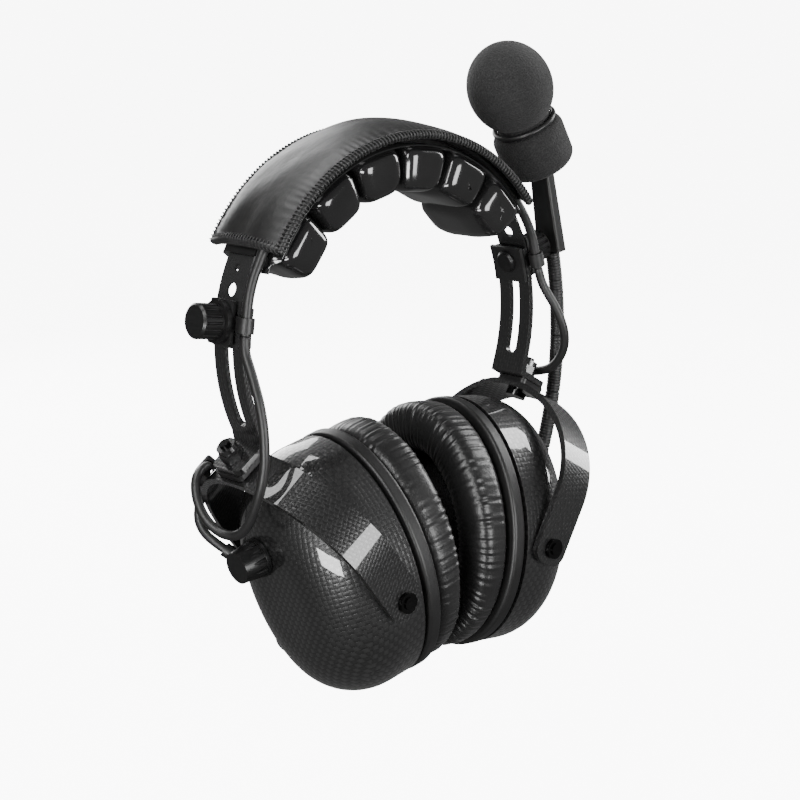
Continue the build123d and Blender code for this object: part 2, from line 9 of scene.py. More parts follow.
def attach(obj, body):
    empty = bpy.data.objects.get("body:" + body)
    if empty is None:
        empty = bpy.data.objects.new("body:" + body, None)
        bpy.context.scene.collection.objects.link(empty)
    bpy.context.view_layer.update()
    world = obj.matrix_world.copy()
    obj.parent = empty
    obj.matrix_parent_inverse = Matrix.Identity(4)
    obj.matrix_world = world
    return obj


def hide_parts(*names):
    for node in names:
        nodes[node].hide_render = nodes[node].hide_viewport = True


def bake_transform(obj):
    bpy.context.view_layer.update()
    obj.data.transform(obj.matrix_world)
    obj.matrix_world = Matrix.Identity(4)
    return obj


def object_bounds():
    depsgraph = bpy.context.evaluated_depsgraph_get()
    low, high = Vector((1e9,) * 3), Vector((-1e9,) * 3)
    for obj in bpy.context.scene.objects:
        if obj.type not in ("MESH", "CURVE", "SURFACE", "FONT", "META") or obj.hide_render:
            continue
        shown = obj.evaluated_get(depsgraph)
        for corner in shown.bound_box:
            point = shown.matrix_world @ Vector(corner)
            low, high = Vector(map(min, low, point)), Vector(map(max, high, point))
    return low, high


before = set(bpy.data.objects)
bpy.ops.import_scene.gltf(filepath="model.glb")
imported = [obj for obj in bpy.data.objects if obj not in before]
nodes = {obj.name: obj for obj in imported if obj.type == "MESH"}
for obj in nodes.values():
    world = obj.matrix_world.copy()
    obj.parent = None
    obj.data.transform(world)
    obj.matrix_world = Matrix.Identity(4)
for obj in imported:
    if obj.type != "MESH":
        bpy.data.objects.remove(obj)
cad_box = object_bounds()

MM = 0.001
PAD_R = 53.0
rng = np.random.default_rng(7)


def place(point):
    """Millimetres about the headband's centre to metres in the row's frame."""
    x, y, z = point
    return Vector((x * MM, y * MM, (z - PAD_R) * MM))


# ---------------------------------------------------------------- materials
class Shader:
    """A material with a few short ways to add nodes."""

    def __init__(self, name):
        self.material = bpy.data.materials.new(name)
        self.material.use_nodes = True
        self.tree = self.material.node_tree
        self.tree.nodes.clear()
        self.bsdf = self.add("ShaderNodeBsdfPrincipled")
        output = self.add("ShaderNodeOutputMaterial")
        self.link(self.bsdf.outputs[0], output.inputs[0])
        self.place = self.add("ShaderNodeTexCoord").outputs["Object"]

    def add(self, kind):
        return self.tree.nodes.new(kind)

    def link(self, a, b):
        self.tree.links.new(a, b)

    def feed(self, socket, value):
        if isinstance(value, (int, float, tuple)):
            socket.default_value = value
        else:
            self.link(value, socket)

    def math(self, operation, a, b=0.0):
        node = self.add("ShaderNodeMath")
        node.operation = operation
        self.feed(node.inputs[0], a)
        self.feed(node.inputs[1], b)
        return node.outputs[0]

    def noise(self, scale, detail=3.0, roughness=0.5, stretch=(1, 1, 1)):
        mapping = self.add("ShaderNodeMapping")
        mapping.inputs["Scale"].default_value = stretch
        self.link(self.place, mapping.inputs["Vector"])
        node = self.add("ShaderNodeTexNoise")
        node.inputs["Scale"].default_value = scale
        node.inputs["Detail"].default_value = detail
        node.inputs["Roughness"].default_value = roughness
        self.link(mapping.outputs[0], node.inputs["Vector"])
        return node.outputs["Fac"]

    def ramp(self, value, low, high, low_at=0.0, high_at=1.0):
        node = self.add("ShaderNodeValToRGB")
        node.color_ramp.elements[0].position = low_at
        node.color_ramp.elements[0].color = (*low, 1) if isinstance(low, tuple) else (low, low, low, 1)
        node.color_ramp.elements[1].position = high_at
        node.color_ramp.elements[1].color = (*high, 1) if isinstance(high, tuple) else (high, high, high, 1)
        self.link(value, node.inputs[0])
        return node.outputs[0]

    def bump(self, height, strength, distance, onto=None):
        node = self.add("ShaderNodeBump")
        node.inputs["Strength"].default_value = strength
        node.inputs["Distance"].default_value = distance
        self.link(height, node.inputs["Height"])
        if onto is not None:
            self.link(onto, node.inputs["Normal"])
        return node.outputs[0]

    def finish(self, **values):
        for name, value in values.items():
            self.feed(self.bsdf.inputs[name.replace("_", " ")], value)
        return self.material


def carbon(name, turn, tow, bright=0.017):
    """Plain-woven laminate under clear gloss; turn is the weave's rotation in degrees about X, Y and Z."""
    s = Shader(name)
    mapping = s.add("ShaderNodeMapping")
    mapping.inputs["Rotation"].default_value = tuple(math.radians(a) for a in turn)
    s.link(s.place, mapping.inputs["Vector"])
    axes = s.add("ShaderNodeSeparateXYZ")
    s.link(mapping.outputs[0], axes.inputs[0])
    geometry = s.add("ShaderNodeNewGeometry")
    turned = s.add("ShaderNodeMapping")
    turned.vector_type = "NORMAL"
    turned.inputs["Rotation"].default_value = tuple(math.radians(a) for a in turn)
    local = s.add("ShaderNodeVectorTransform")
    local.vector_type = "NORMAL"
    local.convert_from = "WORLD"
    local.convert_to = "OBJECT"
    s.link(geometry.outputs["Normal"], local.inputs[0])
    s.link(local.outputs[0], turned.inputs["Vector"])
    facing = s.add("ShaderNodeSeparateXYZ")
    s.link(turned.outputs[0], facing.inputs[0])
    nx, ny, nz = (s.math("ABSOLUTE", facing.outputs[i]) for i in range(3))
    x, y, z = (axes.outputs[i] for i in range(3))
    sideways = s.math("GREATER_THAN", s.math("MAXIMUM", nx, ny), s.math("MULTIPLY", nz, 1.25))
    x_side = s.math("GREATER_THAN", nx, ny)

    def choose(pick, a, b):
        node = s.add("ShaderNodeMix")
        s.link(pick, node.inputs[0])
        s.link(a, node.inputs[2])
        s.link(b, node.inputs[3])
        return node.outputs[0]

    u = s.math("DIVIDE", choose(sideways, x, choose(x_side, x, y)), tow)
    v = s.math("DIVIDE", choose(sideways, y, z), tow)
    parity = s.math("ADD", s.math("FLOOR", u), s.math("FLOOR", v))
    over = s.math("ABSOLUTE", s.math("MODULO", parity, 2.0))
    wave_u = s.math("ABSOLUTE", s.math("SINE", s.math("MULTIPLY", u, math.pi)))
    wave_v = s.math("ABSOLUTE", s.math("SINE", s.math("MULTIPLY", v, math.pi)))
    crown = choose(over, s.math("MULTIPLY", wave_u, s.math("POWER", wave_v, 0.35)),
                   s.math("MULTIPLY", wave_v, s.math("POWER", wave_u, 0.35)))
    shade = s.math("ADD", s.math("MULTIPLY", over, 0.55), s.math("MULTIPLY", crown, 0.45))
    cloudy = s.noise(35, 2.0)
    shade = s.math("MULTIPLY", shade, s.math("ADD", s.math("MULTIPLY", cloudy, 0.8), 0.6))
    colour = s.ramp(shade, 0.0005, bright, 0.1, 0.95)
    rough = s.ramp(shade, 0.5, 0.28)
    weave = s.bump(crown, 0.35, 0.25 * MM)
    s.bsdf.inputs["Metallic"].default_value = 0.1
    s.bsdf.inputs["Coat Weight"].default_value = 1.0
    s.bsdf.inputs["Coat Roughness"].default_value = 0.035
    s.bsdf.inputs["Coat IOR"].default_value = 1.55
    wobble = s.bump(s.noise(60, 2.0), 0.06, 0.5 * MM)
    s.link(wobble, s.bsdf.inputs["Coat Normal"])
    return s.finish(Base_Color=colour, Roughness=rough, Normal=weave)


def vinyl():
    s = Shader("gloss_vinyl")
    mottled = s.noise(90, 4.0)
    colour = s.ramp(mottled, 0.006, 0.014)
    rough = s.ramp(s.noise(25, 3.0), 0.1, 0.19)
    soft = s.bump(s.noise(55, 3.0, 0.5, (1, 0.6, 1)), 0.16, 0.9 * MM)
    return s.finish(Base_Color=colour, Roughness=rough, Normal=soft, IOR=1.55, Coat_Weight=0.6,
                    Coat_Roughness=0.06)


def leatherette():
    s = Shader("leatherette")
    colour = s.ramp(s.noise(140, 4.0), 0.003, 0.01)
    rough = s.ramp(s.noise(60, 3.0), 0.3, 0.44)
    cells = s.add("ShaderNodeTexVoronoi")
    cells.inputs["Scale"].default_value = 1500.0
    s.link(s.place, cells.inputs["Vector"])
    creases = s.bump(s.noise(240, 4.0, 0.6), 0.35, 0.5 * MM)
    grain = s.bump(cells.outputs["Distance"], 0.3, 0.12 * MM, creases)
    return s.finish(Base_Color=colour, Roughness=rough, Normal=grain, Sheen_Weight=0.05)


def satin_cloth():
    s = Shader("satin_cloth")
    colour = s.ramp(s.noise(70, 4.0), 0.0025, 0.007)
    threads = s.add("ShaderNodeTexWave")
    threads.wave_type = "BANDS"
    threads.bands_direction = "Y"
    threads.inputs["Scale"].default_value = 620.0
    threads.inputs["Distortion"].default_value = 0.6
    s.link(s.place, threads.inputs["Vector"])
    creases = s.bump(s.noise(28, 4.0, 0.55, (1, 1.6, 1)), 0.5, 2.2 * MM)
    grain = s.bump(threads.outputs["Fac"], 0.16, 0.1 * MM, creases)
    rough = s.ramp(s.noise(40, 3.0), 0.36, 0.5)
    return s.finish(Base_Color=colour, Roughness=rough, Normal=grain, Sheen_Weight=0.03, Sheen_Roughness=0.4)


def thread():
    s = Shader("thread")
    colour = s.ramp(s.noise(900, 2.0), 0.006, 0.02)
    return s.finish(Base_Color=colour, Roughness=0.5, Normal=s.bump(s.noise(1500, 2.0), 0.4, 0.1 * MM))


def rubber():
    s = Shader("cable_rubber")
    colour = s.ramp(s.noise(120, 3.0), 0.005, 0.012)
    rough = s.ramp(s.noise(80, 3.0), 0.36, 0.5)
    return s.finish(Base_Color=colour, Roughness=rough, Normal=s.bump(s.noise(400, 2.0), 0.12, 0.15 * MM))


def foam():
    s = Shader("open_cell_foam")
    cells = s.add("ShaderNodeTexVoronoi")
    cells.inputs["Scale"].default_value = 1500.0
    s.link(s.place, cells.inputs["Vector"])
    # Painted shade in the pores: the colour is darkest at the cell points, the same places the holes bump
    # sinks, as shade inside each pit.
    pore_shade = s.ramp(cells.outputs["Distance"], 0.001, 0.011, 0.1, 0.75)
    rough = s.ramp(s.noise(300, 3.0), 0.85, 1.0)
    coarse = s.bump(s.noise(1100, 3.0, 0.6), 0.5, 0.35 * MM)
    holes = s.bump(cells.outputs["Distance"], 0.7, 0.3 * MM, coarse)
    return s.finish(Base_Color=pore_shade, Roughness=rough, Normal=holes, Sheen_Weight=0.06, Sheen_Roughness=0.6)


def plastic(name, low, high, rough_low, rough_high, grain=500.0):
    s = Shader(name)
    colour = s.ramp(s.noise(110, 3.0), low, high)
    rough = s.ramp(s.noise(90, 3.0), rough_low, rough_high)
    return s.finish(Base_Color=colour, Roughness=rough, Normal=s.bump(s.noise(grain, 3.0), 0.2, 0.1 * MM))


def metal(name, low, high, rough_low, rough_high, metallic=1.0):
    s = Shader(name)
    brushed = s.noise(300, 3.0, 0.6, (1, 1, 8))
    colour = s.ramp(brushed, low, high)
    rough = s.ramp(s.noise(150, 3.0), rough_low, rough_high)
    return s.finish(Base_Color=colour, Roughness=rough, Metallic=metallic,
                    Normal=s.bump(brushed, 0.08, 0.05 * MM))


CUP_TILT = 9.0
CUP_ROLL = 12.0
FOOT_TILT = 33.5
carbon_cup = {1: carbon("carbon_left_cup", (CUP_ROLL, 90 - CUP_TILT, 0), 1.9 * MM),
              -1: carbon("carbon_right_cup", (CUP_ROLL, -90 + CUP_TILT, 0), 1.9 * MM)}
carbon_strap = {1: carbon("carbon_left_strap", (0, FOOT_TILT, 0), 1.5 * MM, 0.006),
                -1: carbon("carbon_right_strap", (0, -FOOT_TILT, 0), 1.5 * MM, 0.006)}
gloss_vinyl = vinyl()
seal_skin = leatherette()
cover_cloth = satin_cloth()
cover_thread = thread()
cable_rubber = rubber()
muff_foam = foam()
matte = plastic("matte_plastic", 0.004, 0.011, 0.36, 0.52)
dark = plastic("dark_lining", 0.004, 0.01, 0.22, 0.36)
black_metal = metal("black_metal", 0.008, 0.028, 0.24, 0.38, 0.6)
chrome = metal("black_chrome", 0.02, 0.06, 0.14, 0.24)
steel = metal("bright_steel", 0.1, 0.22, 0.2, 0.34)
band_paint = plastic("band_paint", 0.01, 0.022, 0.2, 0.32)

FINISHES = {"spring_band": band_paint, "cover_liner": dark, "cushion_backing": dark,
            "clamp_inner_plates": matte, "clamp_bolts": black_metal, "clamp_outer_plates": matte,
            "cable_clips": cable_rubber, "clamp_knob": black_metal, "swivel_screw": chrome,
            "swivel_nut": steel, "swivel_spacer": matte, "cable_guides": matte, "flange_ring": matte,
            "speaker_baffle": matte, "speaker": matte, "acoustic_foam": muff_foam,
            "ear_foam": muff_foam, "pivots": chrome, "cup_gland": cable_rubber,
            "volume_knob": black_metal, "volume_pot": steel, "comms_socket": black_metal,
            "boom_base": matte, "boom_screw": black_metal, "boom_flex": cable_rubber,
            "mic_body": matte, "mic_capsule": black_metal, "mic_muff": muff_foam, "mic_ring": cable_rubber,
            "crown_cable": cable_rubber, "cable_loop": cable_rubber, "cup_cable": cable_rubber,
            "head_cover": cover_cloth, "head_cushion": gloss_vinyl, "ear_seal": seal_skin}


def paint(obj, material):
    obj.data.materials.clear()
    obj.data.materials.append(material)


for name, obj in nodes.items():
    side = -1 if name.startswith("right_") else 1
    short = name.replace("left_", "").replace("right_", "")
    if short == "cup_shell":
        paint(obj, carbon_cup[side])
    elif short in ("arm", "yoke"):
        paint(obj, carbon_strap[side])
    else:
        found = next((m for key, m in FINISHES.items() if short.startswith(key)), matte)
        paint(obj, found)


# The small round on each hard edge, in millimetres, by the start of the node's name without its side.
EDGES = {"yoke": 0.55, "arm": 0.5, "clamp_knob": 0.25, "volume_knob": 0.3, "pivots": 0.3, "clamp_outer": 0.25,
         "clamp_inner": 0.25, "clamp_bolts": 0.3, "mic_body": 0.6, "boom_base": 0.5, "boom_screw": 0.3,
         "swivel": 0.25, "cable_guides": 0.3, "cable_clips": 0.25, "spring_band": 0.2, "comms": 0.3}


def soften_edges():
    for name, obj in nodes.items():
        short = name.replace("left_", "").replace("right_", "")
        width = next((w for key, w in EDGES.items() if short.startswith(key)), None)
        if width is None:
            continue
        bevel = obj.modifiers.new("edge", "BEVEL")
        bevel.width = width * MM
        bevel.segments = 2
        bevel.limit_method = "ANGLE"
        bevel.angle_limit = math.radians(38)
        bevel.use_clamp_overlap = True
        bevel.harden_normals = True


soften_edges()


# ---------------------------------------------------------------- mesh helpers
def grid(name, points, material, wrap_u=False, wrap_v=False):
    """A smooth mesh over an array of points of shape (rows, columns, 3), in metres."""
    rows, columns = points.shape[:2]
    faces = []
    for i in range(rows if wrap_u else rows - 1):
        for j in range(columns if wrap_v else columns - 1):
            a, b = i * columns + j, i * columns + (j + 1) % columns
            c = ((i + 1) % rows) * columns + (j + 1) % columns
            d = ((i + 1) % rows) * columns + j
            faces.append((a, b, c, d))
    return mesh_of(name, points.reshape(-1, 3), faces, material)


def mesh_of(name, points, faces, material):
    mesh = bpy.data.meshes.new(name)
    mesh.from_pydata([tuple(float(c) for c in p) for p in points], [], faces)
    mesh.validate()
    for polygon in mesh.polygons:
        polygon.use_smooth = True
    obj = bpy.data.objects.new(name, mesh)
    bpy.context.scene.collection.objects.link(obj)
    weld = obj.modifiers.new("weld", "WELD")
    weld.merge_threshold = 0.00001
    apply_modifiers(obj)
    fix_normals(obj)
    paint(obj, material)
    return obj


def apply_modifiers(obj):
    bpy.context.view_layer.update()
    evaluated = obj.evaluated_get(bpy.context.evaluated_depsgraph_get())
    mesh = bpy.data.meshes.new_from_object(evaluated)
    obj.modifiers.clear()
    obj.data = mesh


def fix_normals(obj):
    work = bmesh.new()
    work.from_mesh(obj.data)
    bmesh.ops.recalc_face_normals(work, faces=work.faces)
    work.to_mesh(obj.data)
    work.free()


def wave_noise(a, b, count, low, high):
    """Smooth noise over two angle-like arrays, as a sum of random waves."""
    total = np.zeros(np.broadcast(a, b).shape)
    for _ in range(count):
        ka, kb = rng.integers(low, high), rng.integers(-3, 4)
        total = total + np.sin(ka * a + kb * b + rng.uniform(0, 2 * math.pi))
    return total / math.sqrt(count)


def soft_power(value, power):
    return np.sign(value) * np.abs(value) ** power


# ---------------------------------------------------------------- air rolls under the band
ROLL_TOP = 71.6
ROLL_LOW = 53.2
ROLL_SQUARE = 0.42
ROLL_HALF_LENGTH = 19.4
ROLL_HALF_WIDTH = 10.7


def air_roll(index, phi):
    """One glossy cell: square-ended, narrower at the bottom, slightly crowned."""
    u = np.linspace(-math.pi / 2, math.pi / 2, 56)[:, None]
    v = np.linspace(0, 2 * math.pi, 112, endpoint=False)[None, :]
    ring_size = np.cos(u) ** ROLL_SQUARE
    along = soft_power(np.sin(u), ROLL_SQUARE) * np.ones_like(v)
    side = ring_size * soft_power(np.cos(v), ROLL_SQUARE)
    up = ring_size * soft_power(np.sin(v), 0.55)
    pillow = 1 + 0.05 * np.cos(along * math.pi / 2)
    radius = (ROLL_TOP + ROLL_LOW) / 2 + up * (ROLL_TOP - ROLL_LOW) / 2
    half = ROLL_HALF_WIDTH + 1.2 * up
    ends = ROLL_HALF_LENGTH + 0.9 * up
    dent = 0.22 * wave_noise(along * 3, v, 6, 1, 4)
    a = math.radians(phi)
    tangent = side * half * pillow + dent * side
    radius = radius + 0.35 * wave_noise(along * 2, v, 4, 1, 3) * np.clip(1 - up, 0, 1)
    x = radius * math.cos(a) - tangent * math.sin(a)
    z = radius * math.sin(a) + tangent * math.cos(a) - PAD_R
    points = np.stack([x, along * ends, z], axis=-1) * MM
    roll = grid(f"air_roll_{index}", points, gloss_vinyl, wrap_v=True)
    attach(roll, "headband")


ROLLS = 6
FIRST_ROLL, ROLL_STEP = 40, 20
for i in range(ROLLS):
    air_roll(i, FIRST_ROLL + ROLL_STEP * i)


SHEET_FROM, SHEET_TO = 27.4, 152.6
SHEET_HALF = 17.5
TAIL_FROM, TAIL_TO, TAIL_WIDTH = 31, 149, 0.72


def cushion_sheet():
    """The vinyl backing that joins the rolls, with its tails past the first and last roll."""
    phi = np.radians(np.linspace(SHEET_FROM, SHEET_TO, 90))[:, None]
    profile = [(-SHEET_HALF, 70.9), (-SHEET_HALF, 71.6), (0, 71.7), (SHEET_HALF, 71.6), (SHEET_HALF, 70.9),
               (0, 70.8)]
    y = np.array([p[0] for p in profile])[None, :]
    is_tail = (phi < math.radians(TAIL_FROM)) | (phi > math.radians(TAIL_TO))
    narrow = np.where(is_tail, TAIL_WIDTH, 1.0)
    r = np.array([p[1] for p in profile])[None, :]
    points = np.stack([r * np.cos(phi), y * narrow, r * np.sin(phi) - PAD_R], axis=-1) * MM
    return grid("cushion_sheet", points, gloss_vinyl, wrap_v=True)


sheet = cushion_sheet()
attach(sheet, "headband")
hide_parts("head_cushion")

# ---------------------------------------------------------------- head cover
COVER_FROM, COVER_TO = 33.2, 146.8
COVER_HALF = 21.0
COVER_TOP = 80.3
COVER_DROP, COVER_CURVE = 4.6, 2.6
LINING_TOP, LINING_CURVE, LINING_WIDTH = 78.9, 5, 0.955
HEM_AT, HEM_INSET, HEM_R = 75.4, 1.1, 1.45
SIDE_STITCHES, END_STITCHES, STITCH_R = 96, 24, 0.3


def crown_height(top, y):
    """The radius at y of a surface whose middle is at radius top and whose sides curve down."""
    return top - COVER_DROP * (abs(y) / COVER_HALF) ** COVER_CURVE


def cover_profile(t):
    """The cover's section for t in turns: (y, radius), outside first, then the lining."""
    outside = t < 0.5
    k = np.where(outside, t * 2, (1 - t) * 2)
    y = (COVER_HALF + 0.4) * np.sin((k - 0.5) * math.pi) * np.where(outside, 1.0, LINING_WIDTH)
    crown = crown_height(COVER_TOP, y)
    lining = LINING_TOP - COVER_DROP * (np.abs(y) / (COVER_HALF * LINING_WIDTH)) ** LINING_CURVE
    return y, np.where(outside, crown, np.minimum(lining, crown - 0.9))


def cover():
    phi = np.radians(np.linspace(COVER_FROM, COVER_TO, 260))[:, None]
    t = np.linspace(0, 1, 96, endpoint=False)[None, :]
    y, r = cover_profile(t)
    y, r = y * np.ones_like(phi), r * np.ones_like(phi)
    edge = np.clip(np.abs(y) / COVER_HALF, 0, 1)
    puckers = 0.28 * np.sin(phi * 150 + 2 * np.sin(phi * 17)) * edge**6
    creases = 0.32 * wave_noise(phi * 2, y / 9, 7, 2, 9) * (t < 0.5)
    sag = 0.5 * np.sin((phi - math.radians(40)) * 9) * (1 - edge**2)
    r = r + puckers + creases * (1 - 0.6 * edge) + sag * (t < 0.5)
    ends = np.minimum(phi - math.radians(COVER_FROM), math.radians(COVER_TO) - phi)
    r = r - 0.8 * np.exp(-(ends / 0.012) ** 2) * (t < 0.5)
    y = y + 0.3 * np.sin(phi * 31) * edge**3
    points = np.stack([r * np.cos(phi), y, r * np.sin(phi) - PAD_R], axis=-1) * MM
    return grid("cover", points, cover_cloth, wrap_v=True)


head_cover = cover()
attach(head_cover, "headband")
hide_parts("head_cover")


def tube(name, runs, radius, material, smooth=2):
    """Thin tubes along lists of points in metres, as one curve."""
    curve = bpy.data.curves.new(name, "CURVE")
    curve.dimensions = "3D"
    curve.bevel_depth = radius
    curve.bevel_resolution = smooth
    curve.use_fill_caps = True
    for run in runs:
        spline = curve.splines.new("POLY")
        spline.points.add(len(run) - 1)
        for point, co in zip(spline.points, run):
            point.co = (*co, 1)
    obj = bpy.data.objects.new(name, curve)
    bpy.context.scene.collection.objects.link(obj)
    obj.data.materials.append(material)
    return obj


def whip_stitches():
    """Slanting stitches over each long edge and over both ends of the cover."""
    runs = []
    for side in (-1, 1):
        for i in range(SIDE_STITCHES):
            phi = math.radians(COVER_FROM + (COVER_TO - COVER_FROM) * (i + 0.5) / SIDE_STITCHES)
            lean = math.radians(0.55)
            stitch = []
            for k in range(9):
                turn = math.radians(-50 + 32 * k)
                p = phi + lean * (k - 4) / 4
                r = HEM_AT + 1.75 * math.sin(turn)
                y = side * (COVER_HALF - HEM_INSET + 1.75 * math.cos(turn))
                stitch.append(place((r * math.cos(p), y, r * math.sin(p))))
            runs.append(stitch)
    for end in (COVER_FROM, COVER_TO):
        inward = 1 if end == COVER_FROM else -1
        for i in range(END_STITCHES):
            y = -18.5 + 37 * i / (END_STITCHES - 1)
            top = crown_height(COVER_TOP + 0.3, y)
            stitch = []
            for k in range(7):
                turn = math.radians(-20 + 35 * k)
                p = math.radians(end + inward * (1.15 - 1.55 * math.cos(turn)))
                r = top - 1.6 + 1.7 * math.sin(turn)
                stitch.append(place((r * math.cos(p), y + 0.25 * (k - 3), r * math.sin(p))))
            runs.append(stitch)
    return runs


stitches = tube("cover_stitches", whip_stitches(), STITCH_R * MM, cover_thread)
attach(stitches, "headband")


def hems():
    """The rolled hem that the stitches go round."""
    runs = []
    steps = [math.radians(COVER_FROM + (COVER_TO - COVER_FROM) * i / 120) for i in range(121)]
    for side in (-1, 1):
        y = side * (COVER_HALF - HEM_INSET)
        runs.append([place((HEM_AT * math.cos(p), y, HEM_AT * math.sin(p))) for p in steps])
    for end in (COVER_FROM + 0.7, COVER_TO - 0.7):
        p = math.radians(end)
        run = []
        for i in range(41):
            y = -COVER_HALF + HEM_INSET + 2 * (COVER_HALF - HEM_INSET) * i / 40
            r = crown_height(COVER_TOP - 1.0, y)
            run.append(place((r * math.cos(p), y, r * math.sin(p))))
        runs.append(run)
    return runs


hem = tube("cover_hem", hems(), HEM_R * MM, cover_cloth, 4)
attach(hem, "headband")

# ---------------------------------------------------------------- ear seals
CUP_ORIGIN = (20.5, -7.5, -83.5)
SEAL_OUTER = (38.3, 49.3)
SEAL_INNER = (20.0, 30.0)
SEAL_MIDDLE = 15.4
SEAL_SLOPE = 0.091
GATHERS, FINE_GATHERS = 84, 131
GATHER_DEPTH, LUMP_DEPTH = 0.27, 0.14


def cup_axes(side):
    t, roll = math.radians(CUP_TILT), math.radians(CUP_ROLL)
    out = Vector((math.cos(t), 0, -math.sin(t)))
    up = Vector((math.sin(t), 0, math.cos(t)))
    across = Vector((0, 1, 0)) * math.cos(roll) - up * math.sin(roll)
    tall = out.cross(across)
    flip = Vector((side, 1, 1))
    return [np.array(a * flip) for a in (across, tall, out, Vector(CUP_ORIGIN), up)]


def ear_seal(side):
    """A stuffed oval ring whose skin is gathered all round."""
    across, tall, out, origin, up = cup_axes(side)
    t = np.linspace(0, 2 * math.pi, 720, endpoint=False)[:, None]
    s = np.linspace(0, 2 * math.pi, 72, endpoint=False)[None, :]
    cs, sn = soft_power(np.cos(s), 0.74), soft_power(np.sin(s), 0.62)
    mid = [(a + b) / 2 for a, b in zip(SEAL_OUTER, SEAL_INNER)]
    half = [(a - b) / 2 for a, b in zip(SEAL_OUTER, SEAL_INNER)]
    depth_at = SEAL_MIDDLE + SEAL_SLOPE * (tall @ up) * mid[1] * np.sin(t)
    front = np.clip(sn, 0, 1)
    walls = np.abs(cs)
    wobble = 1.6 * np.sin(3 * t + 0.6) + 1.1 * np.sin(7 * t + 2.0) + 0.8 * np.sin(13 * t)
    fold = np.sin(GATHERS * t + wobble + 0.9 * np.sin(s + 1.3))
    fold = fold + 0.6 * np.sin(FINE_GATHERS * t + 2 * wobble + 0.5 * np.sin(s))
    fold = fold * (0.65 + 0.35 * wave_noise(t, s, 6, 3, 16))
    reach = (0.22 + 0.78 * walls**1.5) * np.clip(1.25 - (1 - front) * 0.8, 0, 1)
    push = GATHER_DEPTH * fold * reach + LUMP_DEPTH * wave_noise(t, np.sin(s), 6, 2, 9) * front
    px = (mid[0] + (half[0] + push) * cs) * np.cos(t)
    py = (mid[1] + (half[1] + push) * cs) * np.sin(t)
    depth = depth_at / 2 * (1 + sn) + push * front
    flat = (px[..., None] * across) + (py[..., None] * tall) - (depth[..., None] * out)
    points = (flat + origin - np.array([0, 0, PAD_R])) * MM
    name = "left" if side > 0 else "right"
    obj = grid(f"{name}_seal", points, seal_skin, wrap_u=True, wrap_v=True)
    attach(obj, f"{name}_cup")
    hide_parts(f"{name}_ear_seal")


for side in (1, -1):
    ear_seal(side)

# ---------------------------------------------------------------- gooseneck
BOOM_Y = 1.0
BOOM_ENDS = ((81.5, -80.0), (95.6, -38.0), (96.6, 14.0))
BOOM_PARTS = 4
RIBS = 78
RIB_R, RIB_HEIGHT, END_R = 2.72, 0.34, 2.4


def circle_through(a, b, c):
    d = 2 * (a[0] * (b[1] - c[1]) + b[0] * (c[1] - a[1]) + c[0] * (a[1] - b[1]))
    sa, sb, sc = (p[0] ** 2 + p[1] ** 2 for p in (a, b, c))
    x = (sa * (b[1] - c[1]) + sb * (c[1] - a[1]) + sc * (a[1] - b[1])) / d
    z = (sa * (c[0] - b[0]) + sb * (a[0] - c[0]) + sc * (b[0] - a[0])) / d
    return x, z, math.hypot(a[0] - x, a[1] - z)


boom_x, boom_z, boom_bend = circle_through(*BOOM_ENDS)
boom_span = [math.atan2(z - boom_z, x - boom_x) for x, z in (BOOM_ENDS[0], BOOM_ENDS[2])]


def boom_point(t):
    a = boom_span[0] + (boom_span[1] - boom_span[0]) * t
    return np.array([boom_x + boom_bend * math.cos(a), BOOM_Y, boom_z + boom_bend * math.sin(a)]), a


def gooseneck(index, t0, t1):
    rings = []
    count = int(RIBS * (t1 - t0)) * 6
    for i in range(count + 1):
        t = t0 + (t1 - t0) * i / count
        centre, a = boom_point(t)
        rib = RIB_R + RIB_HEIGHT * math.sqrt(abs(math.sin(math.pi * t * RIBS)))
        if i in (0, count):
            rib = END_R
        outward, side = np.array([math.cos(a), 0, math.sin(a)]), np.array([0, 1, 0])
        ring = [centre + rib * (math.cos(k) * outward + math.sin(k) * side)
                for k in np.linspace(0, 2 * math.pi, 28, endpoint=False)]
        rings.append(ring)
    points = (np.array(rings) - np.array([0, 0, PAD_R])) * MM
    return grid(f"gooseneck_{index}", points, cable_rubber, wrap_v=True)


BOOM_BODIES = ["boom", "boom_second", "boom_third", "microphone"]
cuts = [0] + [(i + 0.5) / BOOM_PARTS for i in range(BOOM_PARTS)] + [1]
for i in range(BOOM_PARTS + 1):
    piece = gooseneck(i + 1, cuts[i], cuts[i + 1])
    if i == 0:
        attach(piece, BOOM_BODIES[0])
        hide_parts("boom_flex_1", "boom_flex_2", "boom_flex_3", "boom_flex_4")
    elif i == BOOM_PARTS:
        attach(piece, BOOM_BODIES[-1])
    else:
        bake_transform(piece)

# ---------------------------------------------------------------- cables
CABLE_R = 1.85
LEFT_LOOP = [(74.98, -11.8, 11.87), (75.96, -11.8, 6.97), (78.0, -13.6, 1.0), (80.1, -15.3, -3.8),
             (82.7, -17.0, -11.6), (84.6, -16.7, -19.7), (85.1, -13.2, -27.3), (84.6, -7.2, -33.1),
             (83.3, 0.6, -35.2), (81.0, 8.4, -35.3), (74.9, 17.53, -41.69), (73.3, 21.6, -44.11)]
RIGHT_LOOP = [(74.98, -11.8, 11.87), (75.96, -11.8, 6.97), (76.2, -15.0, 0.4), (76.4, -17.2, -5.0),
              (76.7, -19.6, -10.8), (77.1, -21.5, -18.7), (77.8, -22.4, -26.6), (78.5, -22.3, -34.7),
              (80.2, -21.2, -42.5), (81.2, -18.3, -50.1), (82.0, -14.3, -57.3), (83.2, -8.6, -62.4),
              (85.8, -1.5, -62.1), (87.6, 4.8, -57.3), (87.9, 9.1, -50.2), (85.3, 12.5, -43.6),
              (79.6, 15.8, -41.6), (74.9, 17.53, -41.69), (73.3, 21.6, -44.11)]
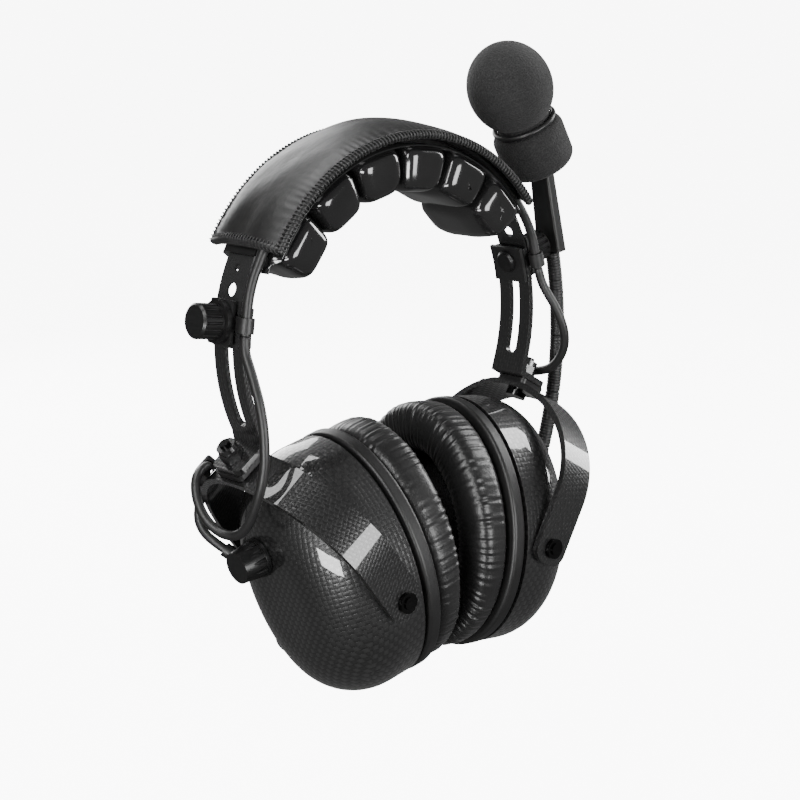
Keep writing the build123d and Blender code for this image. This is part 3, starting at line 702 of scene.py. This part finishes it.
CUP_RUN = [(73.17, 21.92, -44.31), (71.5, 26.53, -47.91), (68.96, 31.24, -52.84), (67.8, 34.3, -57.6),
           (68.8, 35.7, -62.9), (70.7, 34.3, -67.9), (71.1, 30.8, -72.3), (69.66, 25.81, -75.78),
           (67.26, 22.06, -78.73)]


def route_line(points):
    """Points along the smooth NURBS spline whose control points are the route's."""
    curve = bpy.data.curves.new("route", "CURVE")
    curve.dimensions = "3D"
    curve.resolution_u = 10
    spline = curve.splines.new("NURBS")
    spline.points.add(len(points) - 1)
    for point, co in zip(spline.points, points):
        point.co = (*place(co), 1)
    spline.order_u = 3
    spline.use_endpoint_u = True
    obj = bpy.data.objects.new("route", curve)
    mesh = bpy.data.meshes.new_from_object(obj)
    line = [np.array(vertex.co) for vertex in mesh.vertices]
    bpy.data.objects.remove(obj)
    return line


def cable(name, points, side, stands_for, sides=24):
    """A tube along a cable's route, in place of the model's cable part, which it hides.

    A loop runs from the headband to the arm. Its far end sits in the yoke's guide but doesn't follow
    the yoke's swivel.
    """
    line = route_line([(side * x, y, z) for x, y, z in points])
    aside = None
    rings = []
    for i, centre in enumerate(line):
        heading = line[min(i + 1, len(line) - 1)] - line[max(i - 1, 0)]
        heading = heading / np.linalg.norm(heading)
        if aside is None:
            aside = np.cross(heading, (0.3, 1, 0.2))
        aside = aside - heading * (aside @ heading)
        aside = aside / np.linalg.norm(aside)
        other = np.cross(heading, aside)
        radius = (CABLE_R if 0 < i < len(line) - 1 else CABLE_R - 0.25) * MM
        rings.append([centre + radius * (math.cos(k) * aside + math.sin(k) * other)
                      for k in np.linspace(0, 2 * math.pi, sides, endpoint=False)])
    obj = grid(name, np.array(rings), cable_rubber, wrap_v=True)
    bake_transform(obj)
    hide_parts(stands_for)


for word, side, loop in (("left", 1, LEFT_LOOP), ("right", -1, RIGHT_LOOP)):
    cable(f"{word}_loop", loop, side, f"{word}_cable_loop")
    cable(f"{word}_lead", CUP_RUN, side, f"{word}_cup_cable")

# ---------------------------------------------------------------- floor, light and camera
LOWEST = cad_box[0][2]
FLOOR_GAP = 0.12
BACKDROP_GLOW = 9.0
WORLD_GLOW = 0.16
LIT_POINT = Vector((0.0, 0.0, -0.06))


def area_light(name, position, width, height, power):
    data = bpy.data.lights.new(name, "AREA")
    data.shape = "RECTANGLE"
    data.size = width
    data.size_y = height
    data.energy = power
    light = bpy.data.objects.new(name, data)
    bpy.context.scene.collection.objects.link(light)
    light.location = position
    light.rotation_euler = (LIT_POINT - Vector(position)).to_track_quat("-Z", "Y").to_euler()


def pale(name, low, high, glow):
    s = Shader(name)
    tone = s.ramp(s.noise(0.6, 2.0), low, high)
    return s.finish(Base_Color=tone, Roughness=0.9, Emission_Color=tone, Emission_Strength=glow)


def backdrop():
    """A pale floor that sweeps up into a wall all round. The object's gloss doesn't see it."""
    turns = np.linspace(0, 2 * math.pi, 96, endpoint=False)[None, :]
    profile = [(0.001, 0), (1.5, 0), (3, 0), (4, 0.15), (4.8, 0.7), (5.2, 1.5), (5.2, 5), (3, 7),
               (0.001, 7.5)]
    reach = np.array([p[0] for p in profile])[:, None]
    height = np.array([p[1] for p in profile])[:, None] + LOWEST - FLOOR_GAP
    points = np.stack([reach * np.cos(turns), reach * np.sin(turns), height * np.ones_like(turns)], axis=-1)
    obj = grid("floor", points, pale("pale_floor", 0.9, 0.94, BACKDROP_GLOW), wrap_v=True)
    obj.visible_glossy = False
    obj.visible_diffuse = False


backdrop()
world = bpy.data.worlds.new("studio")
bpy.context.scene.world = world
world.use_nodes = True
background = world.node_tree.nodes["Background"]
background.inputs["Color"].default_value = (1.0, 1.0, 1.0, 1.0)
background.inputs["Strength"].default_value = WORLD_GLOW

area_light("key_softbox", (-0.95, -0.35, 0.6), 0.22, 1.0, 12)
area_light("front_softbox", (0.1, -1.1, -0.05), 0.55, 0.5, 12)
area_light("top_softbox", (-0.1, 0.25, 0.95), 0.9, 0.3, 8)
area_light("low_softbox", (-0.95, -0.5, -0.18), 0.5, 0.2, 9)
area_light("side_softbox", (1.0, -0.25, 0.3), 0.3, 0.8, 11)
area_light("back_softbox", (0.3, 1.0, 0.3), 0.5, 0.8, 8)

SENSOR = 36.0
FOCAL_SHARE = 2.375275
AZIMUTH, ELEVATION, ROLL = 40.74, 14.68, 3.27
CAMERA_AT = Vector((-0.4688, -0.5520, 0.1068))


def make_camera():
    a, e, r = (math.radians(v) for v in (AZIMUTH, ELEVATION, ROLL))
    ahead = Vector((math.sin(a) * math.cos(e), math.cos(a) * math.cos(e), -math.sin(e)))
    right = Vector((math.cos(a), -math.sin(a), 0))
    below = ahead.cross(right)
    image_x = right * math.cos(r) + below * math.sin(r)
    image_y = below * math.cos(r) - right * math.sin(r)
    data = bpy.data.cameras.new("camera")
    data.sensor_width = SENSOR
    data.lens = FOCAL_SHARE * SENSOR
    camera = bpy.data.objects.new("camera", data)
    bpy.context.scene.collection.objects.link(camera)
    turn = Matrix((image_x, -image_y, -ahead)).transposed().to_4x4()
    camera.matrix_world = Matrix.Translation(CAMERA_AT) @ turn
    bpy.context.scene.camera = camera


make_camera()
